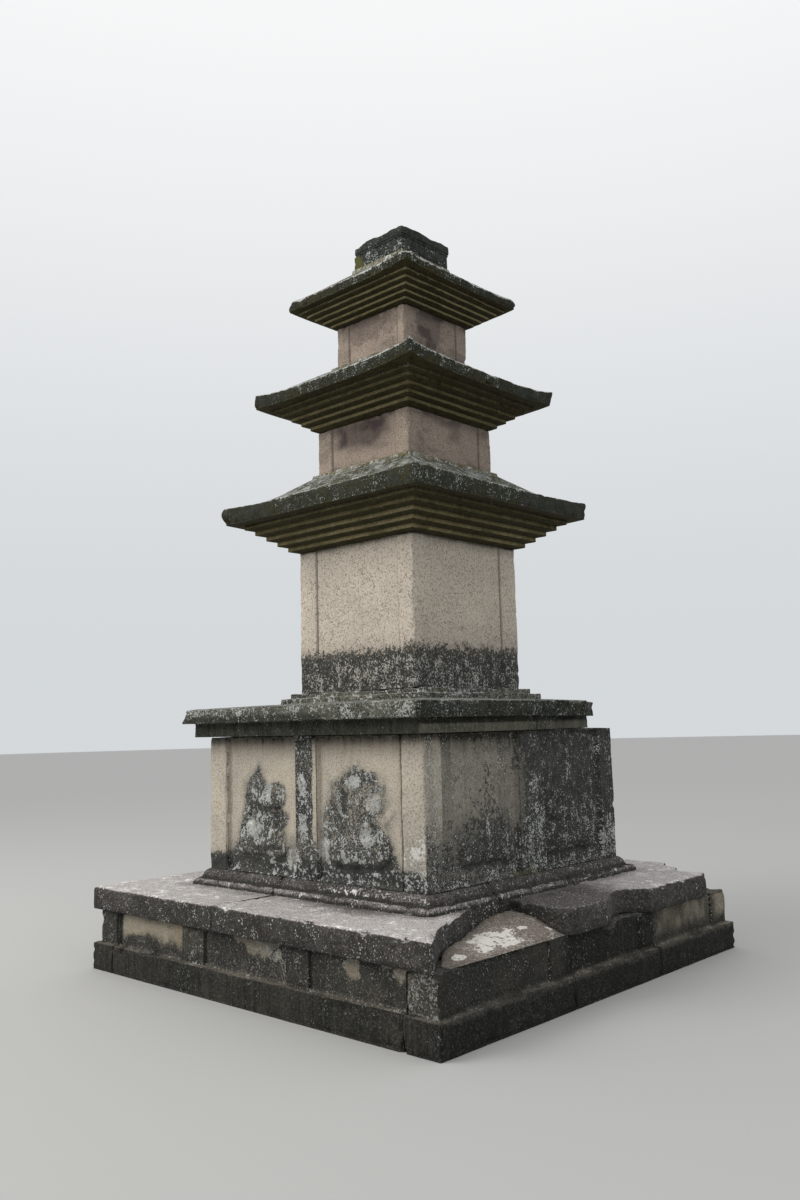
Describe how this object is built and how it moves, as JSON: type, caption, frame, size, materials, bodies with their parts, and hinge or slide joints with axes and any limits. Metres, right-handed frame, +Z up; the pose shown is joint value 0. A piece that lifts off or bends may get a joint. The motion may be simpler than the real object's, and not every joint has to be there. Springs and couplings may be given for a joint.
{
  "type": "stone pagoda",
  "caption": "Square granite pagoda in three diminishing storeys on a two-level base, with stepped-course roofs, relief figures on the upper base and a broken lower slab.",
  "frame": {"origin": "on the ground under the pagoda's upright axis, at the centre of the plinth's foot", "axes": "+Z up along the pagoda's axis; -Y is the face on the picture's left, +X the face on its right, so the corner nearest the camera is at +X, -Y"},
  "size_m": [3.29, 3.29, 5.4],
  "materials": {
    "granite_low_wall": "rough, damp and lichen-grey",
    "granite_slab": "rough, pale speckled top, dark edges with white lichen",
    "granite_upper_base": "rough, cream above, mottled lichen below",
    "granite_cap": "rough, grey lichen",
    "granite_cream": "weathered, speckled cream",
    "granite_pink": "weathered, pinkish buff with grey stains",
    "granite_roof": "rough, dark olive-brown below, grey lichen above",
    "granite_finial": "rough, dark with white lichen",
    "rubble_fill": "rough rubble and earth"
  },
  "bodies": {
    "root": {"base_stone_front": "granite_low_wall", "base_stone_back": "granite_low_wall", "base_stone_right_near": "granite_low_wall", "base_stone_right_mid": "granite_low_wall", "base_stone_right_far": "granite_low_wall", "base_stone_left_near": "granite_low_wall", "base_stone_left_mid": "granite_low_wall", "base_stone_left_far": "granite_low_wall", "slab_front": "granite_slab", "slab_right": "granite_slab", "slab_back": "granite_slab", "slab_left": "granite_slab", "wall_front": "granite_upper_base", "wall_right": "granite_upper_base", "wall_back": "granite_upper_base", "wall_left": "granite_upper_base", "cap_near": "granite_cap", "cap_far": "granite_cap", "body_1": "granite_cream", "body_2": "granite_pink", "body_3": "granite_pink", "roof_1": "granite_roof", "roof_2": "granite_roof", "roof_3": "granite_roof", "finial_base": "granite_finial", "lower_fill": "rubble_fill", "upper_fill": "rubble_fill"}
  },
  "joints": []
}
